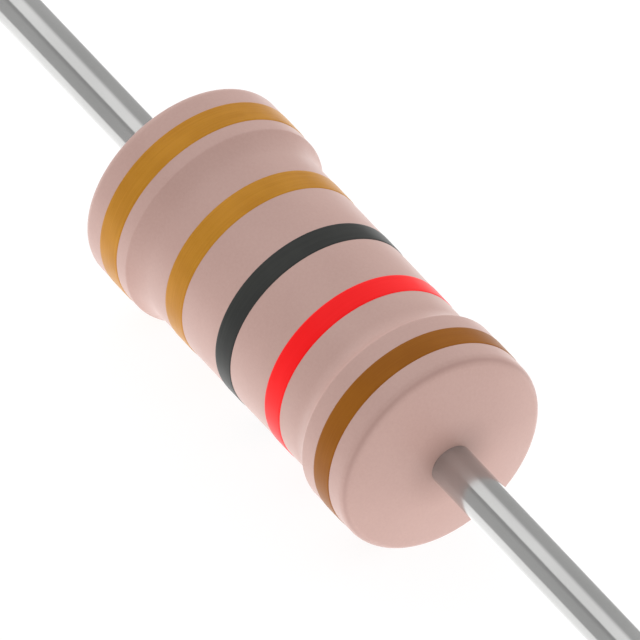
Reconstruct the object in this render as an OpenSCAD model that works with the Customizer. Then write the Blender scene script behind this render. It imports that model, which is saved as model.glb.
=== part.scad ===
// Axial film resistor with five colour bands, in millimetres.
// The leads lie along X, and the origin is the middle of the body.
// The band that is read first is on the +X side.
// Every round piece is a half section turned about its axis:
// in a section the first number is the radius and the second is the place along X.

/* [Ceramic core] */
// Diameter of the ceramic rod
core_d = 3.2; // [2.6:0.1:4]
// Length of the ceramic rod
core_len = 7.6; // [6.6:0.1:10]
// Chamfer round both ends of the rod
core_chamfer = 0.12; // [0.1:0.01:0.2]

/* [Resistive film] */
// Thickness that stands for the deposited film
film_t = 0.03; // [0.02:0.005:0.06]
// Turns of the helical cut that trims the film to its value
kerf_turns = 5; // [2:1:7]
// Width of the cut, along the rod
kerf_w = 0.2; // [0.1:0.02:0.3]
// Uncut film between the skirt of a cap and the end of the cut
kerf_margin = 0.5; // [0.2:0.05:0.8]

/* [End caps] */
// Sheet thickness of the drawn metal cap
cap_t = 0.22; // [0.15:0.01:0.3]
// Outside length of the cap, from its face to the edge of its skirt
cap_len = 1.4; // [1.1:0.05:2]
// Inside radius of the bend between the skirt and the face
cap_bend_r = 0.08; // [0.04:0.01:0.1]

/* [Leads] */
// Diameter of the tinned wire
lead_d = 0.8; // [0.6:0.02:1]
// Free length of the wire, from the coated face to its cut end
lead_len = 28; // [10:1:38]
// Break of the edge round the cut end
lead_chamfer = 0.06; // [0.02:0.01:0.12]
// How far the foot of the wire is upset beyond the wire, where the weld pressed it on
foot_upset = 0.03; // [0.02:0.01:0.06]
// Length over which that foot tapers to the wire, which the coating hides
foot_len = 0.22; // [0.18:0.01:0.26]
// How far the weld bead round the foot spreads beyond the wire
weld_spread = 0.22; // [0.1:0.02:0.4]
// Height of that bead above the face of the cap
weld_h = 0.16; // [0.08:0.01:0.2]

/* [Coating] */
// Thickness of the coating over the film, at the waist
waist_coat_t = 0.24; // [0.2:0.005:0.4]
// Thickness of the coating round the caps, which swells into the two bulges
bulge_coat_t = 0.19; // [0.15:0.01:0.4]
// Thickness of the coating on the face of a cap, at the lead
face_coat_t = 0.33; // [0.3:0.01:0.5]
// The same at the rim of the face
rim_coat_t = 0.075; // [0.05:0.005:0.15]
// Radius that rounds the rim of each face
rim_r = 0.2; // [0.12:0.02:0.36]
// Length of the slope between the waist and a bulge
flank_len = 0.48; // [0.36:0.02:0.8]
// How far the slope runs on past the edge of the cap below it
flank_over = 0.16; // [0.1:0.01:0.4]
// Radius that rounds the shoulder, where the slope meets the bulge
shoulder_r = 0.06; // [0.04:0.01:0.12]

/* [Colour bands] */
// Width of the painted bands that give the figures
band_w = 0.47; // [0.3:0.01:0.7]
// Width of the two gold bands
gold_band_w = 0.52; // [0.3:0.01:0.7]
// Thickness of the band paint
band_t = 0.01; // [0.008:0.002:0.03]
// Pitch of the three middle bands
band_pitch = 1.54; // [1:0.02:1.8]
// From the tip of a face to the middle of the end band on its side
end_band_inset = 1.02; // [0.8:0.02:1.3]
// Shift of all the bands towards the end that is read first
band_shift = 0.03; // [-0.1:0.01:0.1]

/* [Hidden] */
$fn = 96;

// Radii, from the rod outwards
core_r = core_d / 2;
film_r = core_r + film_t;
cap_r = film_r + cap_t;
cap_corner_r = cap_bend_r + cap_t;
lead_r = lead_d / 2;
foot_r = lead_r + foot_upset;
weld_r = lead_r + weld_spread;
waist_r = film_r + waist_coat_t;
bulge_r = cap_r + bulge_coat_t;

// Places along X, from the middle outwards
core_end = core_len / 2;
film_end = core_end - core_chamfer;
cap_face = core_end + cap_t;
cap_edge = cap_face - cap_len;
face_tip = cap_face + face_coat_t;
foot_end = cap_face + foot_len;
lead_tip = face_tip + lead_len;

// The slope is a wide hollow sweep, level at the waist, that runs into the round shoulder
flank_top = cap_edge + flank_over;
flank_foot = flank_top - flank_len;
flank_rise = bulge_r - waist_r;
flank_turn = 2 * atan(flank_rise / flank_len);
sweep_r = flank_len / sin(flank_turn) - shoulder_r;
join_r = waist_r + sweep_r * (1 - cos(flank_turn));
join_x = flank_foot + sweep_r * sin(flank_turn);

// The domed face is the arc about the axis that runs on smoothly from the rounded rim
dome_rise = face_coat_t - rim_coat_t;
rim_x = face_tip - dome_rise - rim_r;
rim_centre_r = bulge_r - rim_r;
dome_r = ((face_tip - rim_x) ^ 2 + rim_centre_r ^ 2 - rim_r ^ 2) / (2 * dome_rise);
dome_x = face_tip - dome_r;

// The helical cut
kerf_len = 2 * (cap_edge - kerf_margin);
kerf_steps = 24;
kerf_pass = 0.03;

end_band_x = face_tip - end_band_inset;

// Turns a half section about the lead axis
module turned() {
    rotate([0, 90, 0]) rotate_extrude() children();
}

// Keeps a section where it is, or mirrors it to the -X side
module on_side(side) {
    mirror([0, side < 0 ? 1 : 0]) children();
}

// Section of a plug from one place to another, with the rim of its far end rounded
module round_plug(radius, from, to, edge) {
    translate([0, from]) square([radius, to - edge - from]);
    translate([0, from]) square([radius - edge, to - from]);
    translate([radius - edge, to - edge]) circle(edge);
}

// Section of one end of the coating, taken as solid, from the waist to the domed face
module coat_end_section() {
    difference() {
        polygon([[0, 0], [waist_r, 0], [waist_r, flank_foot], [join_r, join_x],
            [bulge_r, flank_top], [0, flank_top]]);
        translate([waist_r + sweep_r, flank_foot]) circle(sweep_r);
    }
    translate([bulge_r - shoulder_r, flank_top]) circle(shoulder_r);
    translate([0, flank_top]) square([bulge_r, rim_x - flank_top]);
    translate([rim_centre_r, rim_x]) circle(rim_r);
    intersection() {
        translate([0, dome_x]) circle(dome_r);
        polygon([[0, dome_x], 2 * [rim_centre_r, rim_x - dome_x] + [0, dome_x],
            [0, 2 * (rim_x - dome_x) + dome_x]]);
    }
}

// Section of the whole coated body, taken as solid
module coat_section() {
    coat_end_section();
    on_side(-1) coat_end_section();
}

// Section of a lead: the upset foot, the wire and the broken edge of its cut end
module lead_section() {
    polygon([[0, cap_face], [foot_r, cap_face], [lead_r, foot_end],
        [lead_r, lead_tip - lead_chamfer], [lead_r - lead_chamfer, lead_tip], [0, lead_tip]]);
}

// Section of the weld bead, which is one with the cap and closes round the foot
module weld_section() {
    bead_top_r = foot_r - foot_upset * weld_h / foot_len;
    polygon([[foot_r, cap_face], [weld_r, cap_face], [bead_top_r, cap_face + weld_h]]);
}

// The cutter of the helical groove: a square-sectioned ribbon swept along a helix
module kerf_ribbon() {
    steps = kerf_turns * kerf_steps;
    inner = core_r - kerf_pass;
    outer = (film_r + kerf_pass) / cos(180 / kerf_steps);
    corners = [[inner, -0.5], [outer, -0.5], [outer, 0.5], [inner, 0.5]];
    points = [for (i = [0:steps], corner = corners)
        let (turn = 360 * i / kerf_steps, x = kerf_len * (i / steps - 0.5) + kerf_w * corner.y)
        [x, corner.x * cos(turn), corner.x * sin(turn)]];
    sides = [for (i = [0:steps - 1], k = [0:3])
        let (a = 4 * i + k, b = 4 * i + (k + 1) % 4)
        each [[a, b, a + 4], [b, b + 4, a + 4]]];
    last = 4 * steps;
    ends = [[0, 2, 1], [0, 3, 2], [last, last + 1, last + 2], [last, last + 2, last + 3]];
    polyhedron(points = points, faces = concat(sides, ends));
}

module ceramic_core() {
    color([0.93, 0.92, 0.88]) turned()
        polygon([[0, -core_end], [core_r - core_chamfer, -core_end], [core_r, -film_end],
            [core_r, film_end], [core_r - core_chamfer, core_end], [0, core_end]]);
}

module resistive_film() {
    color([0.35, 0.37, 0.40]) difference() {
        turned() translate([core_r, -film_end]) square([film_t, 2 * film_end]);
        kerf_ribbon();
    }
}

module end_cap(side) {
    color([0.72, 0.72, 0.70]) turned() on_side(side) {
        difference() {
            round_plug(cap_r, cap_edge, cap_face, cap_corner_r);
            round_plug(film_r, cap_edge - cap_len, core_end, cap_bend_r);
        }
        weld_section();
    }
}

module lead(side) {
    color([0.78, 0.78, 0.77]) turned() on_side(side) lead_section();
}

module coating() {
    color([0.82, 0.66, 0.62]) turned() difference() {
        coat_section();
        translate([0, -cap_face]) square([film_r, 2 * cap_face - cap_t]);
        for (side = [-1, 1]) on_side(side) {
            round_plug(cap_r, cap_edge, cap_face, cap_corner_r);
            weld_section();
            lead_section();
        }
    }
}

// A ring of paint that follows the surface of the coating
module band(x, width, tone) {
    color(tone) turned() intersection() {
        difference() {
            translate([band_t, 0]) coat_section();
            coat_section();
        }
        translate([waist_r / 2, x + band_shift - width / 2]) square([bulge_r, width]);
    }
}

ceramic_core();
resistive_film();
end_cap(-1);  // end_cap_left
end_cap(1);  // end_cap_right
lead(-1);  // lead_left
lead(1);  // lead_right
coating();
band(end_band_x, band_w, [0.56, 0.35, 0.12]);  // first_band_brown
band(band_pitch, band_w, [0.90, 0.08, 0.08]);  // second_band_red
band(0, band_w, [0.14, 0.14, 0.14]);  // third_band_black
band(-band_pitch, gold_band_w, [0.72, 0.50, 0.18]);  // multiplier_band_gold
band(-end_band_x, gold_band_w, [0.72, 0.50, 0.18]);  // tolerance_band_gold
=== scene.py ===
# %% [markdown]
# # An axial resistor
#
# A ceramic rod carries a thin film. A metal cap is pressed over each end, a tinned
# wire is welded to each cap, and a dusty-pink lacquer covers everything but the
# wires. Five painted rings give the value. Every outer piece is round about one
# line, so the lesson is about lathe work: a ring of edges is drawn out, step by
# step, along an outline that is worked out from arcs. The sizes come from the
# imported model, which holds each piece at its true place.

# %% Load the frame
import math

import bpy
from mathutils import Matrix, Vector


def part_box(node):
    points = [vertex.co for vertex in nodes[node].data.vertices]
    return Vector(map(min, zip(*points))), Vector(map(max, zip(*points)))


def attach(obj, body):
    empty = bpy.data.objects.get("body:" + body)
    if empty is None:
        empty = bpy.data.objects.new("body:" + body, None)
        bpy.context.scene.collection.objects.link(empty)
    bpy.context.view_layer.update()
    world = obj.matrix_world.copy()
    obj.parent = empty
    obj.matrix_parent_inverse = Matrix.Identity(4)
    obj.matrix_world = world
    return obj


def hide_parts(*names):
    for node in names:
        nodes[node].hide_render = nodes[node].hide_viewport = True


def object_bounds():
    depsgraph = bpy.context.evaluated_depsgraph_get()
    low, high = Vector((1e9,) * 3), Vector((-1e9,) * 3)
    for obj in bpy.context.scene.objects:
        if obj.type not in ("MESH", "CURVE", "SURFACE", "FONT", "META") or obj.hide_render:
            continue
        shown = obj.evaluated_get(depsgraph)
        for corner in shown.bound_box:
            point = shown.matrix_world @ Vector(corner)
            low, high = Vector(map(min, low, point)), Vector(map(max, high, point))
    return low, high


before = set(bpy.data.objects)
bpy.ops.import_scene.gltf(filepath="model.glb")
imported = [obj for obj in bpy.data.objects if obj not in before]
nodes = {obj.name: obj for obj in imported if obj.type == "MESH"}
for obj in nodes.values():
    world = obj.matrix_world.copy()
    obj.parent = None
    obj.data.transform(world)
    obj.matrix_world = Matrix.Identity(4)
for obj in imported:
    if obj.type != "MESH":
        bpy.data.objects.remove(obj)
cad_low, cad_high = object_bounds()
MM = 0.001
print("nodes:", ", ".join(sorted(nodes)))
print("the model measures", [round(v / MM, 2) for v in cad_high - cad_low], "mm")

# %% [markdown]
# ## The camera
#
# The photograph has no perspective: the near bulge and the far bulge are equally
# wide in it. So the camera is orthographic. The wire is a known 0.8 mm and sets
# the scale, and the ellipses of the painted rings give the viewing angle.

# %% Camera
IMAGE_PX = 640
PX_PER_MM = 58.05
AZIMUTH, ELEVATION = 56.6, 44.0
BODY_MIDDLE_PX = (312.6, 318.5)
CAMERA_DISTANCE = 100 * MM
CLIP_NEAR, CLIP_FAR = 1 * MM, 2000 * MM

turn, lift = math.radians(AZIMUTH), math.radians(ELEVATION)
back = Vector((math.sin(turn) * math.cos(lift), -math.cos(turn) * math.cos(lift), math.sin(lift)))
to_right = Vector((math.cos(turn), math.sin(turn), 0))
to_top = back.cross(to_right)
off_right = (IMAGE_PX / 2 - BODY_MIDDLE_PX[0]) / PX_PER_MM * MM
off_top = (BODY_MIDDLE_PX[1] - IMAGE_PX / 2) / PX_PER_MM * MM

camera_data = bpy.data.cameras.new("camera")
camera_data.type = "ORTHO"
camera_data.ortho_scale = IMAGE_PX / PX_PER_MM * MM
camera_data.clip_start, camera_data.clip_end = CLIP_NEAR, CLIP_FAR
camera = bpy.data.objects.new("camera", camera_data)
camera.location = back * CAMERA_DISTANCE + to_right * off_right + to_top * off_top
camera.rotation_mode = "QUATERNION"
camera.rotation_quaternion = (-back).to_track_quat("-Z", "Y")
bpy.context.scene.collection.objects.link(camera)
bpy.context.scene.camera = camera
bpy.context.scene.view_settings.view_transform = "Standard"
print("camera sees", round(camera_data.ortho_scale / MM, 2), "mm")

# %% [markdown]
# ## Shader maths as expressions
#
# A pattern could be wired by hand, node by node, but it is easier to read as a
# formula. `Value` wraps a socket, and an operator on it adds the Math node that it
# stands for. `Graph.add` is the one way to make any other node: its settings come
# first, because they decide which sockets it has, and then its sockets.

# %% Values
class Value:
    """A socket whose number varies from place to place."""

    def __init__(self, graph, socket):
        self.graph, self.socket = graph, socket

    def maths(self, operation, *operands):
        """A Math node that works on these operands."""
        sockets = dict(enumerate(operands))
        return self.graph.add("ShaderNodeMath", {"operation": operation}, sockets)

    def __add__(self, other):
        return self.maths("ADD", self, other)

    def __radd__(self, other):
        return self.maths("ADD", other, self)

    def __sub__(self, other):
        return self.maths("SUBTRACT", self, other)

    def __rsub__(self, other):
        return self.maths("SUBTRACT", other, self)

    def __mul__(self, other):
        return self.maths("MULTIPLY", self, other)

    def __rmul__(self, other):
        return self.maths("MULTIPLY", other, self)

    def __pow__(self, power):
        return self.maths("POWER", self, power)

    def __abs__(self):
        return self.maths("ABSOLUTE", self)

    def at_least(self, lowest):
        """This value, or lowest where the value is less."""
        return self.maths("MAXIMUM", self, lowest)

    def between(self, low, high):
        """Rises smoothly from 0 at low to 1 at high, or falls if high is the lower."""
        if high < low:
            return 1 - self.between(high, low)
        sockets = {"Value": self, "From Min": low, "From Max": high}
        return self.graph.add("ShaderNodeMapRange", {"interpolation_type": "SMOOTHSTEP"}, sockets)

    def peak(self, centre, reach):
        """1 at centre, falling smoothly to 0 at reach on both sides of it."""
        return abs(self - centre).between(reach, 0)


# %% Graphs
class Graph:
    """The nodes of a material or of the world."""

    def __init__(self, owner):
        owner.use_nodes = True
        self.tree = owner.node_tree

    def add(self, kind, settings, sockets, output=0):
        """One output of a new node, after its settings and its sockets are filled in."""
        node = self.tree.nodes.new(kind)
        for name, setting in settings.items():
            setattr(node, name, setting)
        for name, content in sockets.items():
            self.feed(node.inputs[name], content)
        return Value(self, node.outputs[output])

    def feed(self, socket, content):
        """Links a varying value to a socket, and sets a constant on it."""
        if isinstance(content, Value):
            self.tree.links.new(content.socket, socket)
        else:
            socket.default_value = content

    def split(self, vector):
        """The X, Y and Z of a vector."""
        node = self.add("ShaderNodeSeparateXYZ", {}, {0: vector}).socket.node
        return [Value(self, node.outputs[axis]) for axis in "XYZ"]

    def rays(self, *kinds):
        """For each kind of ray, a value that is 1 where such a ray looks, else 0."""
        node = self.add("ShaderNodeLightPath", {}, {}).socket.node
        return [Value(self, node.outputs[kind]) for kind in kinds]


# %% [markdown]
# ## Finishes
#
# Every material here is one Principled shader. On the object, patterns feed its
# colour, its roughness and mostly its relief too. They are noise on Object
# coordinates, in real millimetres. Image textures would need a file and an unwrapped
# surface. Noise needs neither, and its grain has the same size on every piece.

# %% Colours
def rgb(red, green, blue):
    """A colour given as it looks on screen, from 0 to 255, as the linear colour of a shader."""
    def linear(level):
        share = level / 255
        return share / 12.92 if share <= 0.04045 else ((share + 0.055) / 1.055) ** 2.4
    return (linear(red), linear(green), linear(blue), 1)


def grey(level):
    """A grey of that linear level."""
    return (level, level, level, 1)


# %% Finishes
# A Mix node has sockets of one name for numbers, vectors and colours, so these are places
MIX_SHARE, MIX_A, MIX_B, MIX_COLOUR = 0, 6, 7, 2
# Noise runs from 0 to 1 about this
MIDDLE = 0.5


class Finish(Graph):
    """A material: one Principled shader, and the patterns that feed it."""

    def __init__(self, name, **constants):
        self.material = bpy.data.materials.new(name)
        super().__init__(self.material)
        self.shader = self.tree.nodes["Principled BSDF"]
        for socket, content in constants.items():
            self.set(socket.replace("_", " "), content)
        self.place = self.add("ShaderNodeTexCoord", {}, {}, "Object")

    def set(self, socket, content):
        """Feeds a socket of the shader by its name."""
        self.feed(self.shader.inputs[socket], content)

    def millimetres(self):
        """X, Y and Z of a point, in millimetres."""
        return [metres * (1 / MM) for metres in self.split(self.place)]

    def noise(self, size_mm, detail, stretch=(1, 1, 1)):
        """Noise with features of about that size, from 0 to 1, stretched along the axes."""
        scale = tuple(1 / (size_mm * MM * s) for s in stretch)
        place = self.add("ShaderNodeMapping", {}, {"Vector": self.place, "Scale": scale})
        return self.add("ShaderNodeTexNoise", {}, {"Vector": place, "Scale": 1, "Detail": detail})

    def mix(self, share, colour_a, colour_b):
        """colour_a where share is 0, colour_b where it is 1."""
        sockets = {MIX_SHARE: share, MIX_A: colour_a, MIX_B: colour_b}
        return self.add("ShaderNodeMix", {"data_type": "RGBA"}, sockets, MIX_COLOUR)

    def bump(self, height, depth_mm):
        """Relief as deep as depth_mm where height runs from 0 to 1."""
        sockets = {"Height": height, "Distance": depth_mm * MM, "Strength": 1}
        self.set("Normal", self.add("ShaderNodeBump", {}, sockets))


# %% [markdown]
# ## The world
#
# The object lies on a white floor that runs on into a white background. A few lamps
# could light it, but each would add a hot spot and a hard shadow. A light tent is
# even all round, and here it is drawn as a formula of the direction.
#
# The camera sees the world plain white. Matt surfaces are lit by the tent: its walls
# are bright, its roof is dimmer, its far end is brighter than its near one, and it
# is open at the front, where it is dark. So the slope that faces the viewer is the
# darkest part of the body, and the body's sides are pale, as in the photograph.
#
# What bright metal mirrors is drawn by itself: a grey room, a long soft box overhead
# with a dark edge towards the front, and white below the horizon. The angle runs
# round the wire, from 0 at the back through 90 overhead to 180 at the front.

# %% Tent
WALLS, ROOF_FALL, NEAR_FALL = 1.61, 0.90, 0.57
OPENING, OPENING_DEPTH = Vector((-0.15, -0.94, 0.30)).normalized(), 0.83
OPENING_RIM, OPENING_MIDDLE = 0.5, 1

world = bpy.data.worlds.new("studio")
bpy.context.scene.world = world
sky = Graph(world)
along, across, height = sky.split(sky.add("ShaderNodeTexCoord", {}, {}, "Generated"))
facing = along * OPENING.x + across * OPENING.y + height * OPENING.z
opening = facing.between(OPENING_RIM, OPENING_MIDDLE)
tent = WALLS - height * ROOF_FALL - along * NEAR_FALL - opening * OPENING_DEPTH
print("the tent takes", len(sky.tree.nodes), "nodes")

# %% Mirrored room
ROOM, BOX, BOX_EDGE, BELOW = 0.58, 1.40, 0.39, 1.60
BOX_STARTS, BOX_STOPS, EDGE_STOPS = (60, 84), (122, 126), (130, 152)
HORIZON = (-0.32, -0.22)

angle = height.maths("ARCTAN2", height, across) * (180 / math.pi)
past_box = angle.between(*BOX_STOPS)
soft_box = angle.between(*BOX_STARTS) * (1 - past_box)
dark_edge = past_box * (1 - angle.between(*EDGE_STOPS))
room = ROOM + soft_box * (BOX - ROOM) - dark_edge * (ROOM - BOX_EDGE)
above = height.between(*HORIZON)
mirrored = room * above + (1 - above) * BELOW
print("with the mirrored room there are", len(sky.tree.nodes), "nodes")

# %% What each ray sees
is_camera, is_through, is_glossy = sky.rays("Is Camera Ray", "Is Transmission Ray", "Is Glossy Ray")
plain = (is_camera + is_through).between(0, 1)
level = plain + (1 - plain) * (mirrored * is_glossy + tent * (1 - is_glossy))
background = sky.tree.nodes["Background"]
sky.feed(background.inputs["Color"], level)
sky.feed(background.inputs["Strength"], 1)
print("the whole world has", len(sky.tree.nodes), "nodes")

# %% [markdown]
# ## The lamps and the floor
#
# Two broad, weak discs beyond the far end give the light a direction. Mirrors don't
# show them, so the wires keep clean lines. The floor is white paper. It glows a
# little, as paper on a lit table does, which lifts the underside of the body. To the
# camera it is darker and glows more, so that it is as white as the background and
# still keeps a faint shadow.

# %% Lamps
LAMP_SIZE, LAMP_POWER, LAMP_DISTANCE = 90 * MM, 0.0024, 100 * MM
LAMPS = {
    "lamp_behind": (-0.55, 0.62, 0.56),
    "lamp_left": (-0.80, -0.40, 0.45),
}

for name, towards in LAMPS.items():
    light = bpy.data.lights.new(name, "AREA")
    light.shape = "DISK"
    light.size = LAMP_SIZE
    light.energy = LAMP_POWER
    holder = bpy.data.objects.new(name, light)
    away = Vector(towards).normalized()
    holder.location = away * LAMP_DISTANCE
    holder.rotation_mode = "QUATERNION"
    holder.rotation_quaternion = away.to_track_quat("Z", "Y")
    holder.visible_glossy = False
    bpy.context.scene.collection.objects.link(holder)
    print(name, "at", [round(v / MM) for v in holder.location], "mm")

# %% Floor
FLOOR_SIDE = 600 * MM
GLOW, GLOW_SEEN = grey(0.80), grey(0.90)
PAPER, PAPER_SEEN = rgb(238, 238, 238), rgb(110, 110, 110)

bpy.ops.object.select_all(action="DESELECT")
bpy.ops.mesh.primitive_plane_add(size=FLOOR_SIDE, location=(0, 0, cad_low.z))
floor = bpy.context.object
floor.name = "floor"
floor.visible_glossy = False
paper = Finish("floor_paper", Roughness=1.0, Specular_IOR_Level=0.0, Emission_Strength=1.0)
(seen,) = paper.rays("Is Camera Ray")
paper.set("Base Color", paper.mix(seen, PAPER, PAPER_SEEN))
paper.set("Emission Color", paper.mix(seen, GLOW, GLOW_SEEN))
floor.data.materials.append(paper.material)
print("the floor lies at z =", round(cad_low.z / MM, 3), "mm")

# %% [markdown]
# ## The sizes of the body
#
# The body's outline isn't guessed twice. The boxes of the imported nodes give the
# radii and lengths, and the few sizes that a box can't give, such as the radius of
# the rim, are named here as they are in the part's source.

# %% Sizes
def reach(node):
    """The largest X and the radius of a node, in metres."""
    low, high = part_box(node)
    return max(abs(low.x), abs(high.x)), max(abs(low.z), high.z)


bulge_r = reach("coating")[1]
lead_tip, foot_r = reach("lead_right")
cap_edge, cap_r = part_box("end_cap_right")[0].x, reach("end_cap_right")[1]
film_r = reach("resistive_film")[1]
cap_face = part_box("lead_right")[0].x
ring_r = reach("second_band_red")[1]

PAINT = 0.01 * MM
FOOT_UPSET, FOOT_LENGTH = 0.03 * MM, 0.22 * MM
WELD_SPREAD, WELD_HEIGHT = 0.22 * MM, 0.16 * MM
FACE_COAT, RIM_COAT, RIM_R = 0.33 * MM, 0.075 * MM, 0.20 * MM
FLANK_LENGTH, FLANK_OVER, SHOULDER_R = 0.48 * MM, 0.16 * MM, 0.06 * MM
CAP_CORNER_R = 0.30 * MM
LEAD_CHAMFER = 0.06 * MM

waist_r = ring_r - PAINT
face_tip = cap_face + FACE_COAT
lead_r = foot_r - FOOT_UPSET
foot_end = cap_face + FOOT_LENGTH
print("bulge", round(2 * bulge_r / MM, 3), "waist", round(2 * waist_r / MM, 3), "mm across")
print("body", round(2 * face_tip / MM, 2), "mm long, wire", round(2 * lead_r / MM, 2), "mm thick")

# %% [markdown]
# ## The outline of the lacquer
#
# From the waist outwards the outline has a wide hollow sweep, a tight shoulder, a
# straight bulge, a rounded rim and a domed face. It could be drawn as a curve by
# eye, but arcs meet smoothly only where their centres say so. Each arc is given by
# its centre, its radius and two angles, which is how a turner would note it. The
# sweep is level at the waist and the shoulder at the bulge, and that alone fixes
# where they meet. The inside follows the cap, the weld bead and the foot of the
# wire, so the lacquer is a true shell.

# %% Arcs
def arc(centre_x, centre_r, radius, start, end, steps):
    """Points (x, r) on an arc. Angles are in degrees from the X axis towards larger r."""
    points = []
    for step in range(steps + 1):
        a = math.radians(start + (end - start) * step / steps)
        points.append((centre_x + radius * math.cos(a), centre_r + radius * math.sin(a)))
    return points


def mirrored_outline(points):
    """The same outline at -X, so that the two run on as one."""
    return [(-x, r) for x, r in reversed(points)]


# %% Outside
ARC_STEPS, CORNER_STEPS = 12, 6
WAIST_SHARES, BULGE_SHARES = (0.3, 0.6, 0.9, 0.98), (0.05, 0.5, 0.95)


def outer_outline():
    """The +X half of the lacquer's outside, from the waist to the wire."""
    top = cap_edge + FLANK_OVER
    foot = top - FLANK_LENGTH
    bend = 2 * math.degrees(math.atan((bulge_r - waist_r) / FLANK_LENGTH))
    sweep_r = FLANK_LENGTH / math.sin(math.radians(bend)) - SHOULDER_R
    dome_rise = FACE_COAT - RIM_COAT
    rim_x, rim_centre = face_tip - dome_rise - RIM_R, bulge_r - RIM_R
    dome_r = ((face_tip - rim_x) ** 2 + rim_centre ** 2 - RIM_R ** 2) / (2 * dome_rise)
    dome_x = face_tip - dome_r
    rim_end = math.degrees(math.atan2(rim_centre, rim_x - dome_x))
    wire_end = math.degrees(math.asin(lead_r / dome_r))
    points = [(foot * share, waist_r) for share in WAIST_SHARES]
    points += arc(foot, waist_r + sweep_r, sweep_r, -90, -90 + bend, ARC_STEPS)
    points += arc(top, bulge_r - SHOULDER_R, SHOULDER_R, 90 + bend, 90, CORNER_STEPS)[1:]
    points += [(top + (rim_x - top) * share, bulge_r) for share in BULGE_SHARES]
    points += arc(rim_x, rim_centre, RIM_R, 90, rim_end, ARC_STEPS)
    points += arc(dome_x, 0, dome_r, rim_end, wire_end, ARC_STEPS)[1:]
    return points


right_outer = outer_outline()
print("the outside has", len(right_outer), "points on each half")


# %% Inside and the whole outline
def inner_outline():
    """The +X half of the lacquer's inside, from the wire to the film."""
    bead_top_r = foot_r - FOOT_UPSET * WELD_HEIGHT / FOOT_LENGTH
    corner_x, corner_r = cap_face - CAP_CORNER_R, cap_r - CAP_CORNER_R
    points = [(foot_end, lead_r), (cap_face + WELD_HEIGHT, bead_top_r)]
    points += [(cap_face, lead_r + WELD_SPREAD)]
    points += arc(corner_x, corner_r, CAP_CORNER_R, 0, 90, CORNER_STEPS)
    points += [(cap_edge, cap_r), (cap_edge, film_r)]
    return points


right_half = right_outer + inner_outline()
outline = right_half + mirrored_outline(right_half)
print("the whole outline has", len(outline), "points")

# %% [markdown]
# ## Turning it
#
# Spin or a Screw modifier could turn the whole outline at once. Here a circle is
# placed at the first point, and each further point is one extrude along X and one
# resize about the axis, as on a lathe: the seam closes by itself, and there is
# nothing to merge along it. An open circle gives a shell: its last ring is drawn
# back to the first, and merging the doubles closes it. A filled circle gives a
# solid bar, because its face travels along as the end face.

# %% Edit mode
MERGE = 0.001 * MM
SMOOTH_ANGLE = 40


def edit_new(name):
    """Names the primitive that was just added and opens it in edit mode."""
    piece = bpy.context.object
    piece.name = piece.data.name = name
    bpy.ops.object.mode_set(mode="EDIT")
    return piece


def close_edit(piece):
    """Merges doubles, turns the faces outwards, applies the place and smooths the shading."""
    bpy.ops.mesh.select_all(action="SELECT")
    bpy.ops.mesh.remove_doubles(threshold=MERGE)
    bpy.ops.mesh.normals_make_consistent(inside=False)
    bpy.ops.object.mode_set(mode="OBJECT")
    bpy.ops.object.transform_apply(location=True, rotation=True, scale=True)
    bpy.ops.object.shade_smooth_by_angle(angle=math.radians(SMOOTH_ANGLE))
    print(piece.name, len(piece.data.vertices), "vertices,", len(piece.data.polygons), "faces")


# %% Lathe
BODY_SIDES = 160


def lathe(name, points, sides, fill):
    """Turns an outline of (x, r) points about the X axis."""
    bpy.ops.object.select_all(action="DESELECT")
    x, r = points[0]
    bpy.ops.mesh.primitive_circle_add(
        vertices=sides, radius=r, fill_type=fill, location=(x, 0, 0),
        rotation=(0, math.pi / 2, 0))
    piece = edit_new(name)
    for next_x, next_r in points[1:]:
        bpy.ops.mesh.extrude_region_move(TRANSFORM_OT_translate={"value": (next_x - x, 0, 0)})
        grow = next_r / r
        bpy.ops.transform.resize(value=(1, grow, grow), center_override=(next_x, 0, 0))
        x, r = next_x, next_r
    close_edit(piece)
    return piece


def shell(name, points):
    """A piece whose outline closes on itself, turned as finely as the body."""
    return lathe(name, points + points[:1], BODY_SIDES, "NOTHING")


coating = shell("lacquer_body", outline)

# %% [markdown]
# ## The painted rings
#
# Each ring is a stripe of paint, a hundredth of a millimetre thick, laid on the
# lacquer by a wheel. It could be a stripe of colour in the lacquer's material, or a
# tube with a Solidify modifier. But real paint has a thickness, and surface tension
# thins it out towards its edges, so that no step shows there. So it is turned on
# the lathe as well: flat underneath, with a quarter of an ellipse at each edge.

# %% Rings
SWELL_WIDTH, SWELL_STEPS = 0.06 * MM, 5
RINGS = {
    "ring_brown": "first_band_brown",
    "ring_red": "second_band_red",
    "ring_black": "third_band_black",
    "ring_gold": "multiplier_band_gold",
    "ring_gold_end": "tolerance_band_gold",
}


def ring_outline(node):
    """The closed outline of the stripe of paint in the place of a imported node."""
    low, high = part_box(node)
    outer = reach(node)[1]
    swell = []
    for step in range(SWELL_STEPS + 1):
        a = math.radians(90 * step / SWELL_STEPS)
        swell.append((low.x + SWELL_WIDTH * (1 - math.cos(a)), outer - PAINT * (1 - math.sin(a))))
    return swell + [(low.x + high.x - x, r) for x, r in reversed(swell)]


rings = {name: shell(name, ring_outline(node)) for name, node in RINGS.items()}

# %% [markdown]
# ## The wires
#
# A wire is drawn through a die, so it is truly round and straight. A curve with a
# round bevel would make it, but its ends need shapes of their own. The foot is
# upset where the weld pressed it on to the cap. The other end is cut off: its edge
# is a little rounded, and the cut is sunk by a hair, because a shear leaves a
# shallow dish. Rings close to both ends keep the smooth shading of the foot and of
# the edge from running along the wire.

# %% Wires
WIRE_SIDES, LENGTH_STEPS, EDGE_STEPS = 96, 6, 4
CUT_INSET, CUT_DISH = 0.10 * MM, 0.015 * MM
NEAR = 0.03 * MM


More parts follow.
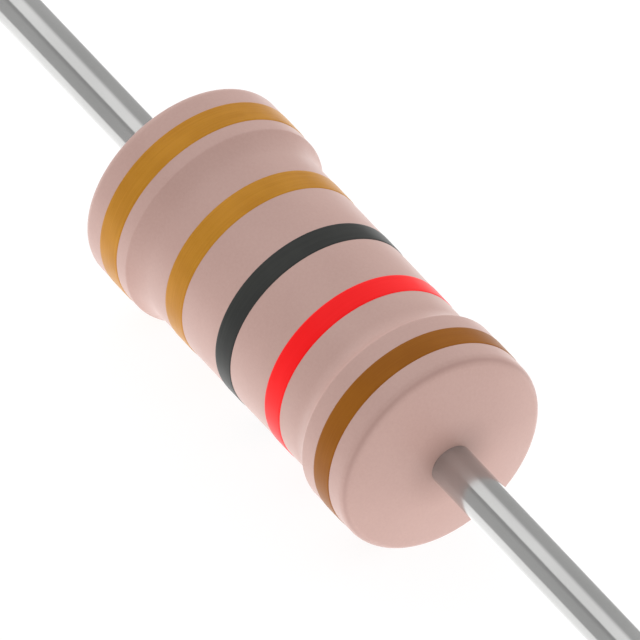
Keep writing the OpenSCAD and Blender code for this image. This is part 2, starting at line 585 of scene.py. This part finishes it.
def wire_outline():
    """The +X wire, from its foot on the cap to its cut end."""
    edge_x, edge_r = lead_tip - LEAD_CHAMFER, lead_r - LEAD_CHAMFER
    step_x = (edge_x - foot_end) / LENGTH_STEPS
    points = [(cap_face, foot_r), (foot_end, lead_r), (foot_end + NEAR, lead_r)]
    points += [(foot_end + step_x * step, lead_r) for step in range(1, LENGTH_STEPS)]
    points += [(edge_x - NEAR, lead_r)] + arc(edge_x, edge_r, LEAD_CHAMFER, 90, 0, EDGE_STEPS)
    points += [(lead_tip, edge_r - NEAR), (lead_tip - CUT_DISH, edge_r - CUT_INSET)]
    return points


right_wire = wire_outline()
left_wire = [(-x, r) for x, r in right_wire]
wires = {
    "wire_right": lathe("wire_right", right_wire, WIRE_SIDES, "NGON"),
    "wire_left": lathe("wire_left", left_wire, WIRE_SIDES, "NGON"),
}

# %% [markdown]
# ## The lacquer's finish
#
# The lacquer is a satin, mineral-filled coat. Up close it has a fine grain, a slow
# mottling of the pink, and the faint orange-peel of a coat that was rolled on. Its
# colour also carries painted shade: darker round the root of the wire, where the wire
# shades the face, and along the line where the rounded rim runs into the face. One
# noise can't be fine and slow at once, so each of these is a pattern of its own, and
# the formulas add them up.

# %% Lacquer
PINK, PINK_DEEP = rgb(196, 161, 152), rgb(186, 150, 141)
# Painted shade: darker pinks round the root of the wire and along the rim's line into the face
PINK_PAINTED_ROOT_SHADE, PINK_PAINTED_RIM_SHADE = rgb(160, 126, 116), rgb(172, 136, 128)
ROOT_SHADE_DEPTH, RIM_SHADE_DEPTH = 0.35, 0.5
MOTTLE_SHARE, GRAIN_SHARE, DEEP_SHARE = 0.9, 0.7, 0.3
SATIN, SATIN_SPREAD, GRAIN_RELIEF = 0.40, 0.12, 0.25
# Millimetres behind the tip of the face, from the axis, and in from the bulge, for where the
# painted shade lies
FACE_STARTS, FACE_FULL = 0.39, 0.33
ROOT_SHADE_INNER_R, ROOT_SHADE_OUTER_R = 0.42, 1.05
RIM_SHADE_INSET, RIM_SHADE_REACH = 0.04, 0.06


def lacquer():
    """Satin pink lacquer, with painted shade at the root of the wire and along the rim."""
    finish = Finish("pink_lacquer", Specular_IOR_Level=0.37)
    x, y, z = finish.millimetres()
    r = (y * y + z * z) ** 0.5
    on_face = abs(x).between(face_tip / MM - FACE_STARTS, face_tip / MM - FACE_FULL)
    # Painted shade round the root of the wire, where the wire shades the face
    root = on_face * r.between(ROOT_SHADE_OUTER_R, ROOT_SHADE_INNER_R)
    # A thin line of painted shade where the rounded rim runs into the face
    line = on_face * r.peak(bulge_r / MM - RIM_SHADE_INSET, RIM_SHADE_REACH)
    mottle = finish.noise(size_mm=1.4, detail=2)
    grain = finish.noise(size_mm=0.05, detail=1)
    patches = finish.noise(size_mm=0.5, detail=2)
    peel = finish.noise(size_mm=0.22, detail=2)
    shade = (mottle - MIDDLE) * MOTTLE_SHARE + (grain - MIDDLE) * GRAIN_SHARE + DEEP_SHARE
    colour = finish.mix(shade.at_least(0), PINK, PINK_DEEP)
    # The painted shade of the root and of the rim line goes into the colour
    colour = finish.mix(root * ROOT_SHADE_DEPTH, colour, PINK_PAINTED_ROOT_SHADE)
    colour = finish.mix(line * RIM_SHADE_DEPTH, colour, PINK_PAINTED_RIM_SHADE)
    finish.set("Base Color", colour)
    finish.set("Roughness", SATIN + (patches - MIDDLE) * SATIN_SPREAD)
    finish.bump(peel + grain * GRAIN_RELIEF, depth_mm=0.0022)
    return finish.material


coating.data.materials.append(lacquer())
print(coating.name, "wears", coating.data.materials[0].name)

# %% [markdown]
# ## The paint of the rings
#
# Band paint is put on by a wheel while the body turns, so its faint streaks run
# round the body. They are noise that changes fast along X and slowly round it. The
# gold is an ochre paint with fine flakes in it. A metal shader would turn the whole
# ring into a mirror, so only the flakes are partly metal.

# %% Paints
ROUND_BODY = (1, 40, 40)
STREAK_SHARE, PATCH_SHARE, PAINT_CONTRAST = 0.5, 0.5, (0.3, 0.7)
PAINT_ROUGHNESS, PAINT_SPREAD = 0.38, 0.1
FLAKE_EDGE, FLAKE_METAL = (0.56, 0.7), 0.5


def paint(name, colour, deep, specular=0.08):
    """Band paint that varies between two tones."""
    finish = Finish(name, Specular_IOR_Level=specular)
    streaks = finish.noise(size_mm=0.03, detail=2, stretch=ROUND_BODY)
    patches = finish.noise(size_mm=0.6, detail=2)
    share = (streaks * STREAK_SHARE + patches * PATCH_SHARE).between(*PAINT_CONTRAST)
    finish.set("Base Color", finish.mix(share, colour, deep))
    finish.set("Roughness", PAINT_ROUGHNESS + (patches - MIDDLE) * PAINT_SPREAD)
    finish.bump(streaks, depth_mm=0.0012)
    return finish


def gold_paint():
    """Ochre band paint with flakes of metal in it."""
    finish = paint("paint_gold", rgb(193, 134, 42), rgb(182, 123, 34), specular=0.10)
    flakes = finish.noise(size_mm=0.02, detail=0).between(*FLAKE_EDGE)
    finish.set("Metallic", flakes * FLAKE_METAL)
    return finish.material


gold = gold_paint()
PAINTS = {
    "ring_brown": paint("paint_brown", rgb(152, 92, 22), rgb(144, 85, 17)).material,
    "ring_red": paint("paint_red", rgb(255, 20, 24), rgb(251, 14, 18), specular=0.12).material,
    "ring_black": paint("paint_black", rgb(59, 60, 58), rgb(52, 53, 52)).material,
    "ring_gold": gold,
    "ring_gold_end": gold,
}
for name, piece in rings.items():
    piece.data.materials.append(PAINTS[name])
    print(name, "wears", PAINTS[name].name)

# %% [markdown]
# ## Tinned wire and the hidden pieces
#
# Tinned wire is a soft mirror with drawing lines along it. Its skin of oxide also
# scatters a little light, so it isn't all metal to the shader. The caps are plated
# sheet, whose lines run round them as the press left them. The rod is matt fired
# ceramic, and the film on it is a dark oxide. Rod, film and caps are sealed in the
# lacquer and could stay plain, but whoever takes the part apart sees them, so they
# get finishes of their own.

# %% Metals
ALONG_WIRE, SLOW_ALONG_WIRE = (60, 1, 1), (3, 1, 1)
TIN, TIN_DULL, BLOOM_EDGE = rgb(190, 190, 189), rgb(181, 181, 180), (0.3, 0.75)
TIN_ROUGHNESS, DRAWN_LINES_ADD, BLOOM_ADDS = 0.09, 0.05, 0.04
PLATING, PLATING_DULL = rgb(205, 204, 198), rgb(180, 179, 173)
PLATING_ROUGHNESS, PRESS_LINES_ADD = 0.25, 0.12


def tinned():
    """Bright tin with drawing lines and a faint bloom."""
    finish = Finish("tinned_wire", Metallic=0.8)
    lines = finish.noise(size_mm=0.02, detail=2, stretch=ALONG_WIRE)
    bloom = finish.noise(size_mm=0.9, detail=3, stretch=SLOW_ALONG_WIRE)
    finish.set("Base Color", finish.mix(bloom.between(*BLOOM_EDGE), TIN, TIN_DULL))
    finish.set("Roughness", TIN_ROUGHNESS + lines * DRAWN_LINES_ADD + bloom * BLOOM_ADDS)
    finish.bump(lines, depth_mm=0.00025)
    return finish.material


def plated():
    """Plated sheet with the lines of the press."""
    finish = Finish("cap_plating", Metallic=1.0)
    lines = finish.noise(size_mm=0.02, detail=2, stretch=ROUND_BODY)
    finish.set("Base Color", finish.mix(lines, PLATING, PLATING_DULL))
    finish.set("Roughness", PLATING_ROUGHNESS + lines * PRESS_LINES_ADD)
    finish.bump(lines, depth_mm=0.001)
    return finish.material


tin = tinned()
for name, piece in wires.items():
    piece.data.materials.append(tin)
    print(name, "wears", tin.name)

# %% Ceramic and film
CERAMIC, CERAMIC_DEEP = rgb(246, 244, 238), rgb(228, 225, 216)
CERAMIC_ROUGHNESS, GRAIN_ADDS = 0.6, 0.15
OXIDE, OXIDE_DEEP = rgb(84, 88, 98), rgb(60, 62, 70)
OXIDE_ROUGHNESS, CLOUD_ADDS = 0.3, 0.1


def fired_ceramic():
    """Matt white ceramic with a fine grain."""
    finish = Finish("fired_ceramic")
    grain = finish.noise(size_mm=0.06, detail=3)
    finish.set("Base Color", finish.mix(grain, CERAMIC, CERAMIC_DEEP))
    finish.set("Roughness", CERAMIC_ROUGHNESS + grain * GRAIN_ADDS)
    finish.bump(grain, depth_mm=0.003)
    return finish.material


def oxide_film():
    """A dark deposited oxide with a cloudy sheen."""
    finish = Finish("oxide_film", Metallic=0.6)
    cloud = finish.noise(size_mm=0.8, detail=3)
    finish.set("Base Color", finish.mix(cloud, OXIDE, OXIDE_DEEP))
    finish.set("Roughness", OXIDE_ROUGHNESS + cloud * CLOUD_ADDS)
    return finish.material


inner_finish = {"ceramic_core": fired_ceramic(), "resistive_film": oxide_film()}
inner_finish["end_cap_left"] = inner_finish["end_cap_right"] = plated()
for node, material in inner_finish.items():
    nodes[node].material_slots[0].material = material
    print(node, "wears", material.name)

# %% [markdown]
# ## Joining the model
#
# Nothing moves, so every piece rides on the one body. Each new piece stands for
# its imported node, which is hidden. The table also lists each piece's finish.

# %% Ride and replace
STANDS_FOR = {
    "lacquer_body": (coating, "coating", "coating"),
    "wire_right": (wires["wire_right"], "lead_right", "tinned_wire"),
    "wire_left": (wires["wire_left"], "lead_left", "tinned_wire"),
    "ring_brown": (rings["ring_brown"], "first_band_brown", "paint_brown"),
    "ring_red": (rings["ring_red"], "second_band_red", "paint_red"),
    "ring_black": (rings["ring_black"], "third_band_black", "paint_black"),
    "ring_gold": (rings["ring_gold"], "multiplier_band_gold", "paint_gold"),
    "ring_gold_end": (rings["ring_gold_end"], "tolerance_band_gold", "paint_gold"),
}
for name, (piece, node, slot) in STANDS_FOR.items():
    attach(piece, "root")
    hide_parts(node)
    print(name, "stands for", node)
